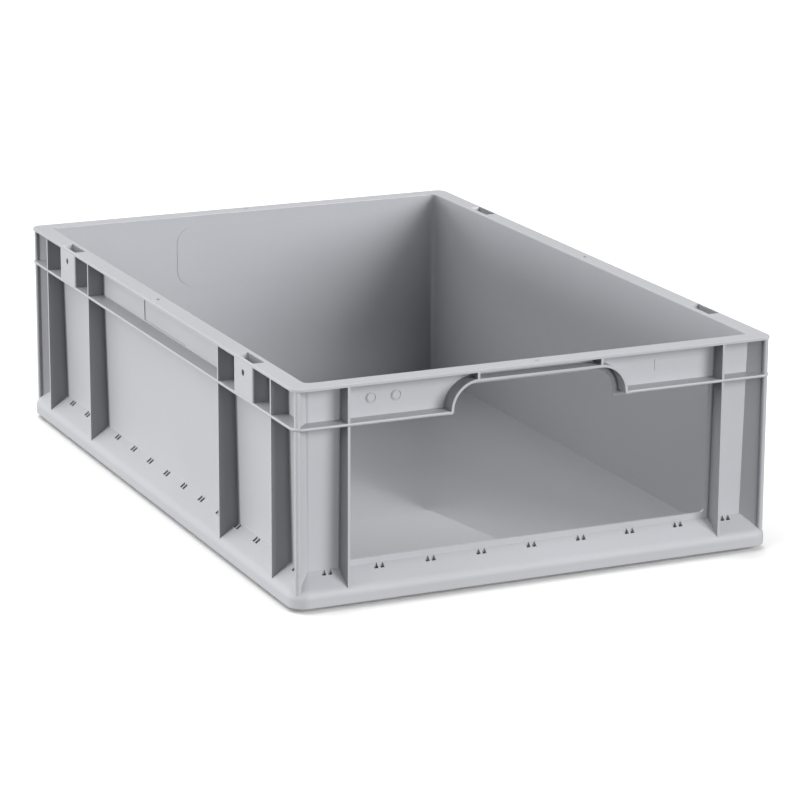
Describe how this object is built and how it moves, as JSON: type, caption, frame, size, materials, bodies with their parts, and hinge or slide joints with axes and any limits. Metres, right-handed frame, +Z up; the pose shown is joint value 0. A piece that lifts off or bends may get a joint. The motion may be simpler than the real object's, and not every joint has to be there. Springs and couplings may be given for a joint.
{
  "type": "stacking storage crate",
  "caption": "Rigid grey plastic stacking crate with an open picking window and finger gap in its short front, ribbed walls, flat rim with lid slots and a stepped base",
  "frame": {"origin": "centre of the floor's flat underside", "axes": "+X across the short front, to the right as seen from the front; +Y from the window front to the back; +Z up"},
  "size_m": [0.4, 0.6, 0.17],
  "materials": {
    "crate_plastic": "satin"
  },
  "bodies": {
    "root": {"back_grip_arch": "crate_plastic", "back_grip_panel": "crate_plastic", "back_wall": "crate_plastic", "base_back": "crate_plastic", "base_front": "crate_plastic", "base_left": "crate_plastic", "base_right": "crate_plastic", "belt_back_left": "crate_plastic", "belt_back_right": "crate_plastic", "belt_front_left": "crate_plastic", "belt_front_right": "crate_plastic", "belt_left": "crate_plastic", "belt_right": "crate_plastic", "corner_fin_back_left": "crate_plastic", "corner_fin_back_right": "crate_plastic", "corner_fin_front_left": "crate_plastic", "corner_fin_front_right": "crate_plastic", "date_stamps": "crate_plastic", "floor_panel": "crate_plastic", "front_grip_arch": "crate_plastic", "front_header_left": "crate_plastic", "front_header_middle": "crate_plastic", "front_header_right": "crate_plastic", "front_jamb_left": "crate_plastic", "front_jamb_right": "crate_plastic", "front_sill": "crate_plastic", "label_field_left": "crate_plastic", "label_field_right": "crate_plastic", "left_wall": "crate_plastic", "lock_block_back_left": "crate_plastic", "lock_block_back_right": "crate_plastic", "lock_block_front_left": "crate_plastic", "lock_block_front_right": "crate_plastic", "maker_field": "crate_plastic", "ribs_back": "crate_plastic", "ribs_front": "crate_plastic", "ribs_left": "crate_plastic", "ribs_right": "crate_plastic", "right_wall": "crate_plastic", "rim_back": "crate_plastic", "rim_front": "crate_plastic", "rim_left": "crate_plastic", "rim_right": "crate_plastic"}
  },
  "joints": []
}
